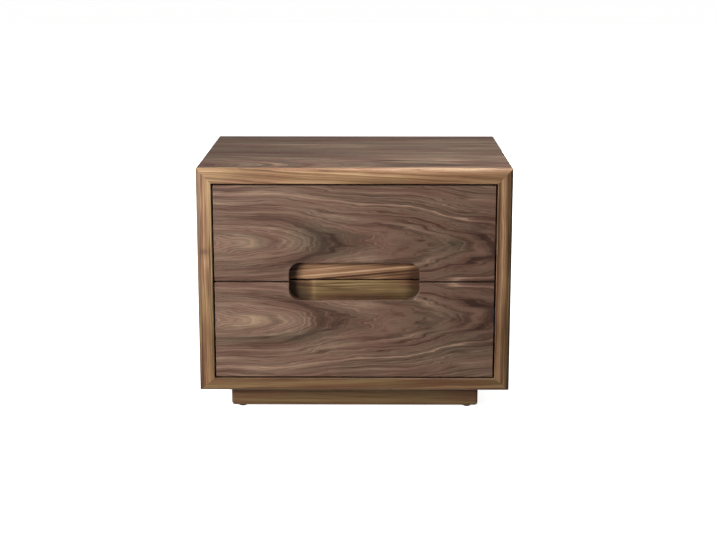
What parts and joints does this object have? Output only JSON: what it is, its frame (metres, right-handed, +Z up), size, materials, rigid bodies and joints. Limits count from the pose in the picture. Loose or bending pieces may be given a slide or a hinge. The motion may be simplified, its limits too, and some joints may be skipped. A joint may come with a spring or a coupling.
{
  "type": "nightstand",
  "caption": "Low walnut nightstand: mitred case on a recessed plinth, with inset drawers on telescopic slides that share a rounded finger cut-out.",
  "frame": {"origin": "on the floor, under the middle of the nightstand", "axes": "+X to the right seen from the front, +Y from the drawer fronts to the back, +Z up"},
  "size_m": [0.56, 0.406, 0.455],
  "materials": {
    "walnut_veneer_case": "satin lacquer",
    "walnut_veneer_fronts": "satin lacquer",
    "solid_walnut_lipping": "satin lacquer",
    "walnut_pull_backing": "satin lacquer",
    "walnut_plinth": "satin lacquer",
    "softwood_blocks": "bare",
    "back_ply": "satin lacquer",
    "drawer_base_ply": "clear lacquer",
    "birch_drawer_boxes": "clear lacquer",
    "beech_pegs": "bare",
    "zinc_slides": "zinc plated",
    "ball_cages": "matte",
    "steel_balls": "polished",
    "steel_screws": "yellow zinc",
    "black_glides": "matte"
  },
  "bodies": {
    "case": {"back_panel": "back_ply", "back_screws": "steel_screws", "bottom_lipping": "solid_walnut_lipping", "bottom_panel": "walnut_veneer_case", "case_slide_screws": "steel_screws", "corner_tenons": "beech_pegs", "glides": "black_glides", "left_lipping": "solid_walnut_lipping", "left_side_panel": "walnut_veneer_case", "lower_left_case_rail": "zinc_slides", "lower_right_case_rail": "zinc_slides", "plinth_back": "walnut_plinth", "plinth_corner_blocks": "softwood_blocks", "plinth_front": "walnut_plinth", "plinth_left": "walnut_plinth", "plinth_right": "walnut_plinth", "plinth_screws": "steel_screws", "right_lipping": "solid_walnut_lipping", "right_side_panel": "walnut_veneer_case", "top_lipping": "solid_walnut_lipping", "top_panel": "walnut_veneer_case", "upper_left_case_rail": "zinc_slides", "upper_right_case_rail": "zinc_slides"},
    "upper_drawer": {"upper_box_back": "birch_drawer_boxes", "upper_box_base": "drawer_base_ply", "upper_box_dowels": "beech_pegs", "upper_box_front": "walnut_pull_backing", "upper_box_left_side": "birch_drawer_boxes", "upper_box_right_side": "birch_drawer_boxes", "upper_drawer_front": "walnut_veneer_fronts", "upper_drawer_slide_screws": "steel_screws", "upper_front_screws": "steel_screws", "upper_left_drawer_rail": "zinc_slides", "upper_right_drawer_rail": "zinc_slides"},
    "upper_middle_rails": {"upper_left_middle_rail": "zinc_slides", "upper_right_middle_rail": "zinc_slides"},
    "upper_outer_cages": {"upper_outer_ball_cages": "ball_cages", "upper_outer_balls": "steel_balls"},
    "upper_inner_cages": {"upper_inner_ball_cages": "ball_cages", "upper_inner_balls": "steel_balls"},
    "lower_drawer": {"lower_box_back": "birch_drawer_boxes", "lower_box_base": "drawer_base_ply", "lower_box_dowels": "beech_pegs", "lower_box_front": "walnut_pull_backing", "lower_box_left_side": "birch_drawer_boxes", "lower_box_right_side": "birch_drawer_boxes", "lower_drawer_front": "walnut_veneer_fronts", "lower_drawer_slide_screws": "steel_screws", "lower_front_screws": "steel_screws", "lower_left_drawer_rail": "zinc_slides", "lower_right_drawer_rail": "zinc_slides"},
    "lower_middle_rails": {"lower_left_middle_rail": "zinc_slides", "lower_right_middle_rail": "zinc_slides"},
    "lower_outer_cages": {"lower_outer_ball_cages": "ball_cages", "lower_outer_balls": "steel_balls"},
    "lower_inner_cages": {"lower_inner_ball_cages": "ball_cages", "lower_inner_balls": "steel_balls"}
  },
  "joints": [
    {"name": "upper_drawer_slide", "type": "slide", "parent": "case", "child": "upper_drawer", "axis": [0, -1, 0], "range_m": [0, 0.35]},
    {"name": "upper_middle_rails_slide", "type": "slide", "parent": "case", "child": "upper_middle_rails", "axis": [0, -1, 0], "range_m": [0, 0.175]},
    {"name": "upper_outer_cages_slide", "type": "slide", "parent": "case", "child": "upper_outer_cages", "axis": [0, -1, 0], "range_m": [0, 0.0875]},
    {"name": "upper_inner_cages_slide", "type": "slide", "parent": "case", "child": "upper_inner_cages", "axis": [0, -1, 0], "range_m": [0, 0.2625]},
    {"name": "lower_drawer_slide", "type": "slide", "parent": "case", "child": "lower_drawer", "axis": [0, -1, 0], "range_m": [0, 0.35]},
    {"name": "lower_middle_rails_slide", "type": "slide", "parent": "case", "child": "lower_middle_rails", "axis": [0, -1, 0], "range_m": [0, 0.175]},
    {"name": "lower_outer_cages_slide", "type": "slide", "parent": "case", "child": "lower_outer_cages", "axis": [0, -1, 0], "range_m": [0, 0.0875]},
    {"name": "lower_inner_cages_slide", "type": "slide", "parent": "case", "child": "lower_inner_cages", "axis": [0, -1, 0], "range_m": [0, 0.2625]}
  ],
  "couplings": [
    {"joint": "upper_middle_rails_slide", "follows": "upper_drawer_slide", "ratio": 0.5},
    {"joint": "upper_outer_cages_slide", "follows": "upper_drawer_slide", "ratio": 0.25},
    {"joint": "upper_inner_cages_slide", "follows": "upper_drawer_slide", "ratio": 0.75},
    {"joint": "lower_middle_rails_slide", "follows": "lower_drawer_slide", "ratio": 0.5},
    {"joint": "lower_outer_cages_slide", "follows": "lower_drawer_slide", "ratio": 0.25},
    {"joint": "lower_inner_cages_slide", "follows": "lower_drawer_slide", "ratio": 0.75}
  ]
}
